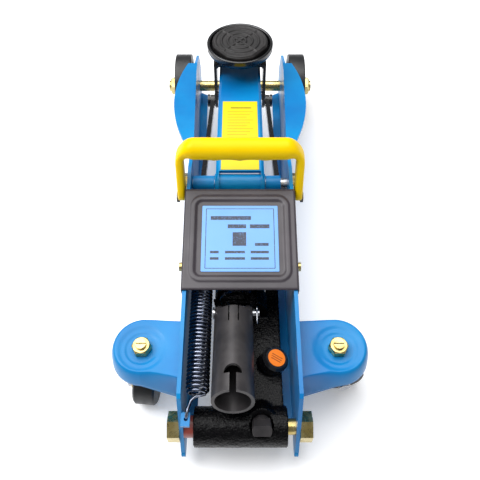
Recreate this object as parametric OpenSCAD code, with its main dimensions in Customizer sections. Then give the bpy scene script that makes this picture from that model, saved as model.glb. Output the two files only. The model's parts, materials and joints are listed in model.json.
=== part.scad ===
// Two-ton hydraulic trolley jack, lowered.
// Millimetres. +Y is the front (saddle end), +X the right seen from the handle, +Z up, floor at z = 0.
// The origin is the middle of the footprint, so the jack is symmetric about x = 0 apart from its pump.

/* [Whole jack] */
// length from the tip of the side plates to the front of the wheels
jack_len = 452; // [445:1:460]
// height of the saddle pad when the jack is lowered
saddle_h = 125; // [124:1:127]
// clearance left between pieces that slide or turn on each other
fit = 0.05; // [0.02:0.01:0.08]

/* [Side plates] */
// thickness of the pressed plates
plate_t = 3; // [2.5:0.5:3]
// outside of the plates at the rear half, from the middle
rear_half = 45; // [45:1:46]
// outside of the plates at the front half, from the middle
front_half = 50; // [49:1:50]
// height of the plate edge beside the carry handle
plate_top = 107; // [105:1:108]
// widest reach of the curved wing beyond the plate
wing_reach = 17; // [12:1:18]

/* [Front wheels] */
// radius of the front wheels
wheel_r = 35.5; // [34:0.5:36]
// width of a front wheel
wheel_w = 18; // [16:1:19]
// inner face of a front wheel, from the middle
wheel_in = 55.5; // [55:0.5:57]
// radius of the front axle
axle_r = 6; // [5:0.5:7]

/* [Casters] */
// caster king bolt, from the middle
caster_x = 75.5; // [75:0.5:77]
// caster king bolt, from the rear tip of the plates
caster_back = 68; // [66:1:70]
// top face of the caster brackets
bracket_z = 66; // [64:1:67]
// radius of a caster wheel
caster_r = 18; // [17:0.5:18]
// caster wheel axle behind its king bolt
caster_trail = 9; // [7:1:9]
// way the left caster happens to point
left_yaw = 6; // [0:1:20]
// way the right caster happens to point
right_yaw = 98; // [90:1:110]

/* [Lift arm] */
// arm pivot, ahead of the middle of the jack
pivot_y = -9; // [-10:1:-8]
// arm pivot above the floor
pivot_z = 86; // [85:1:87]
// reach of the arm from its pivot to the saddle pin
arm_reach = 159; // [157:1:160]
// drop of the saddle pin below the arm pivot when lowered
arm_drop = 30; // [29:1:31]
// outside of the arm channel, from the middle
arm_half = 21.5; // [21:0.5:22]
// thickness of the arm channel
arm_t = 3; // [2.5:0.5:3]
// crank pin below the arm pivot
crank_r = 36; // [35:0.5:36]
// crank pin behind straight down when lowered, in degrees
crank_lead = 37; // [36:0.5:38]

/* [Saddle] */
// radius of the saddle cup
cup_r = 33.5; // [32:0.5:35]
// radius of the rubber pad
pad_r = 28; // [26:0.5:28.5]

/* [Pump] */
// middle of the ram, cylinder and tank above the floor
ram_z = 53; // [52:1:54]
// radius of the ram
ram_r = 12; // [11:0.5:12.5]
// radius of the oil tank
tank_r = 21; // [20:0.5:21.5]
// outside radius of the handle socket
socket_r = 15.5; // [15:0.5:16]
// bore radius of the handle socket
socket_bore = 13; // [12.5:0.5:13]
// length of the handle socket
socket_len = 80; // [78:1:82]
// rise of the socket towards its mouth when down, in degrees
socket_tilt = 12; // [10:1:13]

/* [Return spring] */
// mean radius of the coils
coil_r = 7.8; // [7:0.1:7.8]
// radius of the wire
wire_r = 1.2; // [1:0.1:1.2]
// number of coils
coils = 30; // [24:1:32]

/* [Hidden] */
$fn = 40;

// colours
blue = [0.06, 0.42, 0.80];
black_iron = [0.09, 0.09, 0.10];
zinc = [0.82, 0.74, 0.42];
steel = [0.62, 0.63, 0.66];
socket_grey = [0.28, 0.28, 0.29];
yellow = [0.99, 0.86, 0.05];

// places worked out from the driving sizes
rear_y = -jack_len / 2;
front_y = jack_len / 2;
axle_y = front_y - wheel_r;
saddle_y = pivot_y + arm_reach;
saddle_z = pivot_z - arm_drop;
// tie-rod pins sit this far ahead of and below the arm pins, at both ends
link_ahead = 7;
link_below = 14.5;
link_r = 4;
rod_eye_in = 32.2;
caster_y = rear_y + caster_back;
wing_rear_y = 5;
wing_mid_y = 111;
wing_arc_r = 199;
// the plates spread from the rear width to the front width between wing_rear_y and here
splay_y = 158;
wing_front_y = 174;
wing_rear_z = 99;
wing_front_z = 80;
plate_in = rear_half - plate_t;
front_in = front_half - plate_t;
nose_r = 27;
cover_front_y = -33;
cover_rear_y = -120;
cover_rear_z = 88.5;
cover_slope = atan((plate_top - cover_rear_z) / (cover_front_y - cover_rear_y));
cover_len = norm([plate_top - cover_rear_z, cover_front_y - cover_rear_y]);
cover_t = 1.2;
corner_y = rear_y + 27;
corner_z = 80;
plate_low = 12;
foot_w = 8;
foot_front_y = 203;
nose_top_y = axle_y + 14;
nose_top_z = wheel_r + 32;
screw_y = -98;
screw_z = 88;
screw_r = 2;
screw_head_r = 3.6;
bracket_tip_low = bracket_z - 14;
bracket_root_low = 36;
king_r = 4;
king_nut_r = 7.8;
grip_y = -17;
grip_z = 139;
grip_r = 9.2;
handle_foot_y = -30;
handle_foot_z = 92;
handle_in = rear_half + 1.5;
handle_t = 7;
handle_bolt_y = handle_foot_y + 1;
handle_bolt_z = handle_foot_z + 1;
handle_bolt_r = 3;
handle_nut_r = 5;
finger_pitch = 21;
trunnion_y = rear_y + 16.5;
trunnion_z = 38;
trunnion_r = 15;
trunnion_left = -34.5;
trunnion_right = 35.5;
block_left = -21;
block_right = 33;
block_front_y = -106;
block_rear_y = trunnion_y + 4;
shoulder_y = -92;
block_low = 22;
block_top = 46;
tank_front_y = -57;
gland_len = 10.5;
gland_r = 20.5;
seal_r = 15;
ram_rear_y = -109;
cylinder_rear_y = -110.5;
cylinder_r = 17;
crank_y = pivot_y - crank_r * sin(crank_lead);
crank_z = pivot_z - crank_r * cos(crank_lead);
crank_pin_r = 6;
slot_r = crank_pin_r + 1.1;
head_half = 14;
head_back = 12;
head_low = 39;
head_high = 67;
pivot_r = 6;
tube_r = 8;
arm_tube_r = 9.5;
arm_top = 13;
arm_nose_y = saddle_y + 6;
arm_front_z = 91;
arm_slope = atan((pivot_z + arm_top - arm_front_z) / (arm_nose_y - pivot_y));
web_rear_y = pivot_y + 5;
yoke_out = 27;
yoke_pin_r = 6;
yoke_t = 3;
bar_z = saddle_h - 23;
socket_x = -5;
fulcrum_y = -127;
fulcrum_z = 64;
fulcrum_r = 3.5;
bore_len = 50;
tube_start = 4.5;
slot_back = 15;
slot_cap_r = 6.5;
lug_half = 5.5;
roller_arm = 18;
roller_low = 22;
roller_r = 5;
roller_pin_r = 2.5;
cheek_in = 9.8;
cheek_t = 3;
roller_y = fulcrum_y - roller_arm * cos(roller_low);
roller_z = fulcrum_z - roller_arm * sin(roller_low);
plunger_r = 6;
plunger_gap = 0.35;
release_x = 16;
release_y = -211;
release_z = 50;
release_lean = 45;
release_stem = 12;
cap_x = 25;
cap_y = -163;
cap_z = 48;
cap_lean = 18;
spring_x = -31.3;
ear_hole_x = -29.1;
spring_z = 65;
spring_rear_y = -194;
spring_front_y = -98;
ear_y = crank_y - head_back - 2.9;
plug_y = -94;
hook_z = 74;
hook_y = -212;
fork_in = 10.3;
fork_t = 2;
fork_top = 50;

// ---- helpers -------------------------------------------------------------------------------

// a cylinder along X from x0 to x1 at (y, z)
module rod_x(x0, x1, y, z, r) {
    translate([x0, y, z]) rotate([0, 90, 0]) cylinder(r = r, h = x1 - x0);
}

// a cylinder along Y from y0 to y1 at (x, z)
module rod_y(y0, y1, x, z, r) {
    translate([x, y0, z]) rotate([-90, 0, 0]) cylinder(r = r, h = y1 - y0);
}

// a hexagon along X, size measured across the corners
module hex_x(x0, x1, y, z, r) {
    translate([x0, y, z]) rotate([0, 90, 0]) cylinder(r = r, h = x1 - x0, $fn = 6);
}

// whatever is built for the left, and its mirror image on the right
module both() {
    children();
    mirror([1, 0, 0]) children();
}

// a side view drawn in (y, z), made solid between x0 and x1
module side(x0, x1) {
    translate([x0, 0, 0]) rotate([90, 0, 90]) linear_extrude(x1 - x0) children();
}

// a rounded slab in plan between two circles
module link_2d(a, ra, b, rb) {
    hull() {
        translate(a) circle(r = ra);
        translate(b) circle(r = rb);
    }
}

// ---- chassis -------------------------------------------------------------------------------

// outline of a side plate seen from the side
module plate_outline() {
    translate([rear_y + 5, plate_low + 5]) circle(r = 5);
    translate([axle_y, wheel_r]) circle(r = nose_r);
    polygon([[rear_y + 1.5, 22], [corner_y - 3, corner_z - 2], [corner_y, corner_z],
        [cover_rear_y, cover_rear_z - 0.5], [cover_front_y, plate_top], [-8, plate_top + 1],
        [wing_rear_y + 25, wing_rear_z - 2.5], [wing_front_y, wing_front_z],
        [nose_top_y, nose_top_z], [axle_y + nose_r - 3, wheel_r + 12], [axle_y, wheel_r - nose_r],
        [120, plate_low], [rear_y + 5, plate_low]]);
}

// thin strip in plan that steps outwards ahead of the carry handle
module plate_plan() {
    polygon([[-rear_half, rear_y - 1], [-rear_half, wing_rear_y], [-front_half, splay_y],
        [-front_half, front_y], [-front_in, front_y], [-front_in, splay_y],
        [-plate_in, wing_rear_y], [-plate_in, rear_y - 1]]);
}

// foot turned inwards along the bottom edge, cut at a slant in front
module plate_foot() {
    translate([0, 0, plate_low]) linear_extrude(plate_t) polygon([
        [-plate_in - 0.5, corner_y + 3], [-plate_in - 0.5, wing_rear_y], [-front_in - 0.5, splay_y],
        [-front_in - 0.5, foot_front_y], [-front_in + foot_w, foot_front_y - 5],
        [-front_in + foot_w, splay_y], [-plate_in + foot_w - 0.5, wing_rear_y],
        [-plate_in + foot_w - 0.5, corner_y + 3]]);
}

// curved wing standing out over the wheel, cut from an arc that is widest well forward
module wing() {
    chord = wing_front_y - wing_rear_y;
    fall = atan((wing_rear_z - wing_front_z) / chord);
    translate([0, wing_rear_y, wing_rear_z - plate_t]) rotate([-fall, 0, 0]) linear_extrude(plate_t)
        intersection() {
            translate([wing_arc_r - front_half - wing_reach, wing_mid_y - wing_rear_y])
                circle(r = wing_arc_r, $fn = 160);
            polygon([[-front_half - wing_reach, 0], [-front_half - wing_reach, chord],
                [-front_in - 0.5, chord], [-front_in - 0.5, splay_y - wing_rear_y], [-plate_in - 0.5, 0]]);
        }
}

module side_plate() {
    color(blue) difference() {
        union() {
            intersection() {
                linear_extrude(plate_top + 5) plate_plan();
                side(-front_half - 1, 0) plate_outline();
            }
            wing();
            plate_foot();
        }
        rod_x(-front_half - 9, -30, axle_y, wheel_r, axle_r + fit);
        rod_x(-front_half - 9, -30, pivot_y, pivot_z, pivot_r + fit);
        rod_x(-front_half - 9, -30, pivot_y + link_ahead, pivot_z - link_below, link_r + fit);
        rod_x(-front_half - 9, -30, trunnion_y, trunnion_z, axle_r + fit);
        rod_x(-front_half - 9, -30, handle_bolt_y, handle_bolt_z, handle_bolt_r + fit);
        rod_x(-front_half - 9, -30, screw_y, screw_z, screw_r + fit);
    }
}

// tab on the left plate that carries the fixed end of the spring
module spring_tab() {
    color(blue) difference() {
        translate([-plate_in - 0.5, hook_y - 5, hook_z - 13]) cube([6.5, 10, plate_t]);
        translate([-plate_in + 3.2, hook_y, hook_z - 15]) cylinder(r = wire_r + 0.25, h = 8, $fn = 16);
    }
}

module front_axle() {
    color(zinc) union() {
        rod_x(-wheel_in - wheel_w - 9.5, wheel_in + wheel_w + 9.5, axle_y, wheel_r, axle_r);
        both() rod_x(-wheel_in + 0.4, -front_half - 0.1, axle_y, wheel_r, axle_r + 3);
    }
}

module axle_nuts() {
    color(zinc) both() difference() {
        hex_x(-wheel_in - wheel_w - 7.4, -wheel_in - wheel_w - 0.4, axle_y, wheel_r, 10.5);
        rod_x(-100, 0, axle_y, wheel_r, axle_r + 0.02);
    }
}

// plan of a caster bracket, grown by more
module bracket_plan(more) {
    hull() {
        translate([-caster_x, caster_y]) circle(r = 25 + more, $fn = 90);
        translate([-rear_half - 1 - more, caster_y - 28]) circle(r = 1 + more);
        translate([-rear_half - 1 - more, caster_y + 24]) circle(r = 1 + more);
    }
}

module caster_bracket() {
    color(blue) difference() {
        intersection() {
            translate([0, 0, bracket_root_low]) linear_extrude(bracket_z - bracket_root_low) intersection() {
                bracket_plan(0);
                translate([-150, -300]) square([150 - rear_half - 0.02, 600]);
            }
            // the skirt deepens from the tip to the plate
            translate([0, -100, 0]) rotate([90, 0, 0]) linear_extrude(120) polygon([
                [-rear_half, bracket_z], [-caster_x - 26, bracket_z], [-caster_x - 26, bracket_tip_low],
                [-caster_x, bracket_tip_low], [-rear_half, bracket_root_low]]);
        }
        translate([0, 0, bracket_root_low - 1])
        linear_extrude(bracket_z - 2 - bracket_root_low) intersection() {
            bracket_plan(-2.8);
            translate([-150, -300]) square([150 - rear_half - 4, 600]);
        }
        // shallow dish round the king bolt
        translate([-caster_x, caster_y, bracket_z - 1.6]) cylinder(r1 = 14, r2 = 18, h = 1.7, $fn = 64);
        translate([-caster_x, caster_y, bracket_z - 20]) cylinder(r = king_r + fit, h = 30);
    }
}

module caster_king_bolts() {
    color(zinc) both() translate([-caster_x, caster_y, 0]) {
        translate([0, 0, fork_top - 8]) cylinder(r = king_nut_r, h = 5, $fn = 6);
        translate([0, 0, fork_top - 3.1]) difference() {
            cylinder(r = king_r, h = bracket_z + 11 - fork_top);
            translate([-6, -0.7, bracket_z + 9.8 - fork_top]) cube([12, 1.4, 5]);
        }
    }
}

module caster_king_nuts() {
    color(zinc) both() translate([-caster_x, caster_y, bracket_z - 1.5]) difference() {
        cylinder(r = king_nut_r, h = 7, $fn = 6);
        translate([0, 0, -1]) cylinder(r = king_r + 0.02, h = 12);
    }
}

// things drawn flat and then laid on the slope of the cover; v runs forwards from its rear edge
module on_cover(lift) {
    translate([0, cover_rear_y, cover_rear_z + lift]) rotate([cover_slope, 0, 0]) children();
}

module cover_plate() {
    half = rear_half + 0.1;
    color([0.30, 0.28, 0.29]) difference() {
        on_cover(0) union() {
            translate([-half - cover_t, 0, 0]) cube([2 * (half + cover_t), cover_len, 2.2]);
            both() translate([-half - cover_t, 0, -11]) cube([cover_t, cover_len, 12]);
        }
        on_cover(1.1) translate([-35, 7, 0]) cube([70, cover_len - 14, 3]);
        both() rod_x(-half - 5, -half + 5, screw_y, screw_z, screw_r + fit);
    }
}

module cover_label() {
    color([0.58, 0.80, 0.98]) on_cover(1.15) translate([-31, 15, 0]) cube([62, cover_len - 31, 0.4]);
}

module cover_screws() {
    color(zinc) both() {
        rod_x(-rear_half - 3.6, -rear_half - 1.35, screw_y, screw_z, screw_head_r);
        rod_x(-rear_half - 1.4, -plate_in + 2, screw_y, screw_z, screw_r);
    }
}

module carry_handle() {
    outer = handle_in + handle_t;
    color(yellow) difference() {
        union() {
            rod_x(-outer + 8, outer - 8, grip_y, grip_z, grip_r);
            both() {
                translate([-outer + 8, grip_y, grip_z]) sphere(r = grip_r);
                hull() {
                    rod_x(-outer, -handle_in, grip_y - 1, grip_z - 4, 7.5);
                    rod_x(-outer, -handle_in, handle_foot_y, handle_foot_z, 9);
                }
            }
            // ridges between the fingers
            for (i = [-1:1]) translate([i * finger_pitch, grip_y, grip_z - 3]) sphere(r = grip_r - 1);
        }
        both() {
            rod_x(-outer - 1, -handle_in + 1, handle_bolt_y, handle_bolt_z, handle_bolt_r + fit);
            rod_x(-outer - 5, -outer + 1.5, handle_bolt_y, handle_bolt_z, 5.6);
            translate([-outer - 20, grip_y - 20, grip_z - 20]) cube([20, 40, 40]);
            // the foot stays clear of the shaft nut
            rod_x(-outer - 1, -handle_in + 1, pivot_y, pivot_z, 11.5);
        }
    }
}

module handle_bolts() {
    head = handle_in + handle_t;
    color([0.2, 0.2, 0.21]) both() {
        hex_x(-head - 1, -head + 1.4, handle_bolt_y, handle_bolt_z, handle_nut_r);
        rod_x(-head + 1.3, -plate_in + 1, handle_bolt_y, handle_bolt_z, handle_bolt_r);
        hex_x(-plate_in + 0.05, -plate_in + 4, handle_bolt_y, handle_bolt_z, handle_nut_r);
    }
}

module pivot_shaft() {
    color(steel) rod_x(-rear_half - 9, rear_half + 9, pivot_y, pivot_z, pivot_r);
}

module pivot_nuts() {
    color(zinc) both() difference() {
        hex_x(-rear_half - 7.5, -rear_half - 0.6, pivot_y, pivot_z, 10.5);
        rod_x(-100, 0, pivot_y, pivot_z, pivot_r + 0.02);
    }
}

// short tubes that centre the arm between the plates; the right one leaves some of the shaft bare
module spacer_tubes() {
    color(blue) difference() {
        union() {
            rod_x(-plate_in + 0.3, -arm_half - 1.4, pivot_y, pivot_z, tube_r);
            rod_x(arm_half + 1.4, plate_in - 6, pivot_y, pivot_z, tube_r);
        }
        rod_x(-60, 60, pivot_y, pivot_z, pivot_r + fit);
    }
}

module rod_anchor_pins() {
    y = pivot_y + link_ahead;
    z = pivot_z - link_below;
    color(steel) both() rod_x(-rear_half, -rod_eye_in + 0.25, y, z, link_r);
}

module trunnion_bolts() {
    color(zinc) {
        hex_x(-rear_half - 9.2, -rear_half - 0.1, trunnion_y, trunnion_z, 11.6);
        rod_x(-rear_half - 0.2, trunnion_left + 12, trunnion_y, trunnion_z, axle_r);
        hex_x(rear_half + 0.1, rear_half + 9.2, trunnion_y, trunnion_z, 11.6);
        rod_x(trunnion_right - 11, rear_half + 0.2, trunnion_y, trunnion_z, axle_r);
    }
}

module trunnion_spacer() {
    color([0.72, 0.30, 0.22]) difference() {
        rod_x(-plate_in + 0.05, trunnion_left - 0.05, trunnion_y, trunnion_z, 8.2);
        rod_x(-60, 0, trunnion_y, trunnion_z, axle_r + fit);
    }
}

// ---- power unit ----------------------------------------------------------------------------

// along the leaning release valve, from its mouth
module at_release() {
    translate([release_x, release_y, release_z]) rotate([release_lean, 0, 0]) children();
}

module at_cap() {
    translate([cap_x, cap_y, cap_z]) rotate([0, cap_lean, 0]) children();
}

module pump_block() {
    color(black_iron) difference() {
        union() {
            rod_x(trunnion_left, trunnion_right, trunnion_y, trunnion_z, trunnion_r);
            translate([block_left, block_rear_y, block_low])
                cube([block_right - block_left, block_front_y - 8 - block_rear_y, block_top - block_low]);
            // collar round the end of the tank, cut away where the front of the socket swings down
            difference() {
                rod_y(block_front_y - 15, block_front_y, 0, ram_z, tank_r + 2);
                rod_x(-25, 13, fulcrum_y, fulcrum_z, roller_arm + 6.5);
            }
            // shoulder that reaches forward beside the tank
            translate([tank_r + 1, block_front_y - 10, block_low])
                cube([block_right - tank_r - 1, shoulder_y - block_front_y + 10, block_top - block_low]);
            // lug inside the handle socket
            side(socket_x - lug_half, socket_x + lug_half)
                link_2d([fulcrum_y, fulcrum_z], 6, [fulcrum_y, block_top - 8], 8);
            at_release() translate([0, 0, -26]) cylinder(r = 11, h = 24);
            at_cap() translate([0, 0, -14]) cylinder(r = 10, h = 14);
        }
        // seat of the main cylinder
        rod_y(cylinder_rear_y - 0.1, block_front_y + 1, 0, ram_z, cylinder_r + fit);
        // room for the socket to swing on either side of its lug
        for (x = [[-25, socket_x - lug_half], [socket_x + lug_half, 13]])
            rod_x(x[0], x[1], fulcrum_y, fulcrum_z, socket_r + 1.2);
        // room for the two roller cheeks
        for (x = [socket_x - cheek_in - cheek_t - 0.6, socket_x + cheek_in - 0.6])
            rod_x(x, x + 4.2, fulcrum_y, fulcrum_z, roller_arm + 6.5);
        rod_x(-40, 40, fulcrum_y, fulcrum_z, fulcrum_r + fit);
        translate([socket_x, roller_y, block_low + 4]) cylinder(r = 9 + fit, h = 60);
        rod_x(trunnion_left - 1, trunnion_left + 12.5, trunnion_y, trunnion_z, axle_r + fit);
        rod_x(trunnion_right - 11.5, trunnion_right + 1, trunnion_y, trunnion_z, axle_r + fit);
        at_release() {
            translate([0, 0, -16]) cylinder(r = 6 + fit, h = 40);
            translate([0, 0, -2]) cylinder(r = 8.2, h = 40);
        }
        at_cap() {
            translate([0, 0, -8]) cylinder(r = 4 + fit, h = 20);
            cylinder(r = 11, h = 20);
        }
    }
}

module main_cylinder() {
    color(steel) difference() {
        rod_y(cylinder_rear_y, tank_front_y + 4, 0, ram_z, cylinder_r);
        rod_y(cylinder_rear_y - 1, tank_front_y + 5, 0, ram_z, ram_r + fit);
    }
}

module oil_tank() {
    color(black_iron) difference() {
        union() {
            rod_y(block_front_y + 0.05, tank_front_y, 0, ram_z, tank_r);
            translate([socket_x, plug_y, ram_z + tank_r - 4]) cylinder(r = 9, h = 6);
        }
        rod_y(block_front_y - 1, tank_front_y - 3, 0, ram_z, tank_r - 2);
        rod_y(block_front_y - 1, tank_front_y + 1, 0, ram_z, cylinder_r + fit);
        translate([socket_x, plug_y, ram_z + tank_r - 6]) cylinder(r = 4 + fit, h = 20);
    }
}

module gland_nut() {
    color(steel) difference() {
        translate([0, tank_front_y + 0.1, ram_z]) rotate([-90, 0, 0])
            cylinder(r = gland_r, h = gland_len, $fn = 6);
        rod_y(tank_front_y - 1, tank_front_y + 4.1, 0, ram_z, cylinder_r + fit);
        rod_y(tank_front_y - 1, tank_front_y + gland_len + 1, 0, ram_z, ram_r + fit);
        rod_y(tank_front_y + gland_len - 3, tank_front_y + gland_len + 1, 0, ram_z, seal_r + fit);
    }
}

// wiper ring set into the mouth of the gland nut
module ram_seal() {
    color([0.12, 0.12, 0.12]) difference() {
        rod_y(tank_front_y + gland_len - 2.9, tank_front_y + gland_len + 0.3, 0, ram_z, seal_r);
        rod_y(tank_front_y, tank_front_y + 20, 0, ram_z, ram_r + fit);
    }
}

module ram_piston() {
    color([0.78, 0.79, 0.82]) rod_y(ram_rear_y, ear_y - 0.05, 0, ram_z, ram_r);
}

module ram_head() {
    color(steel) difference() {
        union() {
            side(-head_half, head_half) hull() {
                translate([crank_y - head_back, head_low]) square([2 * head_back - 3, head_high - head_low]);
                translate([crank_y + 4, (head_low + head_high) / 2]) circle(r = 10);
            }
        }
        side(-head_half - 1, head_half + 1)
            link_2d([crank_y, pivot_z - crank_r], slot_r, [crank_y, crank_z], slot_r);
    }
}

// plate clamped behind the head; it passes below the arm and up to the spring
module spring_ear() {
    color(steel) difference() {
        translate([0, ear_y + 2.8, 0]) rotate([90, 0, 0]) linear_extrude(2.8) {
            translate([-head_half, head_low]) square([2 * head_half, head_high - head_low]);
            translate([-31.7, head_low]) square([20, 7]);
            translate([-31.7, head_low]) square([6.7, spring_z - head_low + 3]);
        }
        rod_y(ear_y - 5, ear_y + 10, ear_hole_x, spring_z, wire_r + 0.15);
    }
}

module pump_cylinder() {
    color(steel) translate([socket_x, roller_y, 0]) difference() {
        translate([0, 0, block_low + 4.1]) cylinder(r = 9, h = block_top - block_low - 3.6);
        translate([0, 0, block_low + 5.5]) cylinder(r = plunger_r + fit, h = 40);
    }
}

// the plunger stands on the oil and is pushed down by the roller in the socket
module pump_plunger() {
    top = roller_z - roller_r - plunger_gap;
    foot = block_low + 6;
    color([0.7, 0.7, 0.72]) translate([socket_x, roller_y, foot]) cylinder(r = plunger_r, h = top - foot);
}

module filler_plug() {
    color([0.75, 0.75, 0.77]) translate([socket_x, plug_y, ram_z + tank_r - 3.6]) {
        cylinder(r = 4, h = 7);
        translate([0, 0, 5.7]) cylinder(r = 7.5, h = 3);
    }
}

module safety_valve_cap() {
    color(black_iron) at_cap() {
        translate([0, 0, -7.5]) cylinder(r = 4, h = 9);
        translate([0, 0, 0.1]) cylinder(r = 10.5, h = 9);
        translate([0, 0, 9]) cylinder(r1 = 10.5, r2 = 8.5, h = 2);
    }
}

module safety_label() {
    color([0.96, 0.55, 0.12]) at_cap() translate([0, 0, 11.02]) cylinder(r = 7, h = 0.4);
}

module release_valve() {
    color([0.35, 0.35, 0.37]) at_release() {
        translate([0, 0, -15]) cylinder(r = 6, h = 16);
        intersection() {
            translate([0, 0, -1]) cylinder(r = 7.2, h = release_stem);
            translate([-8, -4.2, -2]) cube([16, 8.4, release_stem + 2]);
        }
    }
}

module fulcrum_pin() {
    color(steel) {
        rod_x(socket_x - socket_r - 0.2, socket_x + socket_r + 5, fulcrum_y, fulcrum_z, fulcrum_r);
        rod_x(socket_x - socket_r - 1.3, socket_x - socket_r - 0.1, fulcrum_y, fulcrum_z, fulcrum_r + 1.5);
    }
}

// wire clip through the end of the fulcrum pin
module fulcrum_clip() {
    color(steel) translate([socket_x + socket_r + 3, fulcrum_y, fulcrum_z + fulcrum_r + 2.9]) {
        rotate([0, 90, 0]) rotate_extrude($fn = 32) translate([2.2, 0]) circle(r = 0.6, $fn = 12);
        translate([0, -12, -2.2]) rotate([-90, 0, 0]) cylinder(r = 0.6, h = 12, $fn = 12);
    }
}

// cheek beside the lug that carries the press roller
module roller_cheek() {
    side(cheek_in, cheek_in + cheek_t) link_2d([0, 0], 6, [roller_y - fulcrum_y, roller_z - fulcrum_z], 5.5);
}

// handle socket: a tube on the fulcrum pin, open below its front end, with a keyhole near its mouth
module handle_socket() {
    color(socket_grey) translate([socket_x, fulcrum_y, fulcrum_z]) difference() {
        union() {
            rotate([90 - socket_tilt, 0, 0]) difference() {
                translate([0, 0, -2]) cylinder(r = socket_r, h = socket_len + 2, $fn = 64);
                translate([0, 0, -3]) cylinder(r = socket_bore, h = socket_len + 4, $fn = 64);
                // relief ahead of the part that grips the handle
                translate([0, 0, -3])
                    cylinder(r = socket_bore + 0.5, h = socket_len - bore_len + 3, $fn = 64);
                // slot for the handle's key, with a half-round end
                translate([-2.4, 0, socket_len - slot_back]) cube([4.8, 30, 20]);
                translate([0, 5, socket_len - slot_back]) rotate([-90, 0, 0]) intersection() {
                    cylinder(r = slot_cap_r, h = 20);
                    translate([-10, -1, 0]) cube([20, 20, 30]);
                }
                // the top starts behind the pin, and a tongue is pressed down there
                translate([-20, 5.5, -5]) cube([40, 30, tube_start + 5]);
                for (x = [-4.2, 3.2]) translate([x, 5, tube_start - 1]) cube([1, 20, 16]);
                // open underneath, so that it clears the lug and the plunger
                translate([-20, -26, -3]) cube([40, 20, 29]);
            }
            both() roller_cheek();
        }
        rod_x(-20, 20, 0, 0, fulcrum_r + fit);
        rod_x(-20, 20, roller_y - fulcrum_y, roller_z - fulcrum_z, roller_pin_r + fit);
    }
}

module press_roller() {
    color(steel) {
        rod_x(socket_x - cheek_in + 0.4, socket_x + cheek_in - 0.4, roller_y, roller_z, roller_r);
        rod_x(socket_x - cheek_in - cheek_t - 0.4, socket_x + cheek_in + cheek_t + 0.4,
            roller_y, roller_z, roller_pin_r);
    }
}

// ---- return spring -------------------------------------------------------------------------

// point on the centre line of the wire; the coil runs forwards from the plate tab to the ear
function coil_point(i, n) =
    let (a = 360 * coils * i / n)
    [spring_x + coil_r * cos(a), spring_rear_y + (spring_front_y - spring_rear_y) * i / n,
        spring_z + coil_r * sin(a)];

module return_spring() {
    per_coil = 12;
    n = coils * per_coil;
    ring = 6;
    tail = [[-plate_in + 3.2, hook_y, hook_z - 14], [-plate_in + 3.2, hook_y + 0.5, hook_z - 8],
        [-plate_in + 5, spring_rear_y - 6, hook_z - 8]];
    nose = [[spring_x + coil_r - 2, spring_front_y + 3, spring_z], [ear_hole_x, spring_front_y + 9, spring_z],
        [ear_hole_x, ear_y + 6, spring_z]];
    path = concat(tail, [for (i = [0:n]) coil_point(i, n)], nose);
    last = len(path) - 1;
    function heading(i) = let (d = path[min(i + 1, last)] - path[max(i - 1, 0)]) d / norm(d);
    // two directions square to the wire, worked out from the axis of the coil
    function across(i) = let (c = cross(heading(i), [0, 1, 0.3])) c / norm(c);
    points = [for (i = [0:last]) for (k = [0:ring - 1])
        let (u = across(i), v = cross(heading(i), u), a = 360 * k / ring)
        path[i] + wire_r * (cos(a) * u + sin(a) * v)];
    walls = [for (i = [0:last - 1]) for (k = [0:ring - 1])
        let (m = (k + 1) % ring) [i * ring + k, i * ring + m, (i + 1) * ring + m, (i + 1) * ring + k]];
    color([0.22, 0.23, 0.26]) polyhedron(points = points,
        faces = concat([[for (k = [ring - 1:-1:0]) k]], walls, [[for (k = [0:ring - 1]) last * ring + k]]));
}

// ---- lift arm ------------------------------------------------------------------------------

// solid shape of the arm: top, deep nose round the saddle pin, ears at the pivot and crank legs behind
module arm_shape() {
    side(-arm_half, arm_half) polygon([[pivot_y, pivot_z + arm_top], [arm_nose_y, arm_front_z],
        [saddle_y + 11, saddle_z + 18], [saddle_y + 11, saddle_z + 6], [saddle_y, saddle_z - 9],
        [saddle_y - 60, 60], [pivot_y + 12, 68], [pivot_y, pivot_z - arm_top]]);
    rod_x(-arm_half, arm_half, saddle_y, saddle_z, 9.5);
    rod_x(-arm_half, arm_half, pivot_y, pivot_z, arm_top - 0.4);
    side(-arm_half, arm_half) link_2d([pivot_y, pivot_z], 12, [crank_y, crank_z], 9.5);
}

module arm_channel() {
    color(blue) difference() {
        arm_shape();
        // hollow below the top sheet
        side(-arm_half + arm_t, arm_half - arm_t) {
            polygon([[-200, 0], [-200, pivot_z + 40], [web_rear_y, pivot_z + 40],
                [web_rear_y, pivot_z + arm_top - arm_t - 0.3], [arm_nose_y - 2, arm_front_z - arm_t],
                [saddle_y + 8, saddle_z + 17], [saddle_y + 8, 0]]);
            translate([saddle_y - 20, 0]) square([60, saddle_z + 10]);
        }
        // chamfers along the top
        both() translate([-arm_half, pivot_y, pivot_z + arm_top]) rotate([90 - arm_slope, 0, 0])
            translate([0, 0, -180]) linear_extrude(220) polygon([[-1, -3.5], [3.5, 1], [-1, 1]]);
        rod_x(-40, 40, pivot_y, pivot_z, arm_tube_r + 0.02);
        rod_x(-40, 40, crank_y, crank_z, crank_pin_r + fit);
        rod_x(-40, 40, saddle_y, saddle_z, yoke_pin_r + fit);
    }
}

module arm_pivot_tube() {
    color(blue) difference() {
        rod_x(-arm_half - 1, arm_half + 1, pivot_y, pivot_z, arm_tube_r);
        rod_x(-40, 40, pivot_y, pivot_z, pivot_r + fit);
    }
}

module arm_label() {
    color([0.97, 0.95, 0.12]) translate([0, pivot_y, pivot_z + arm_top + 0.05]) rotate([-arm_slope, 0, 0])
        translate([-17, 6, 0]) cube([34, 96, 0.4]);
}

module crank_pin() {
    color(steel) rod_x(-arm_half - 2.6, arm_half + 2.6, crank_y, crank_z, crank_pin_r);
}

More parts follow.
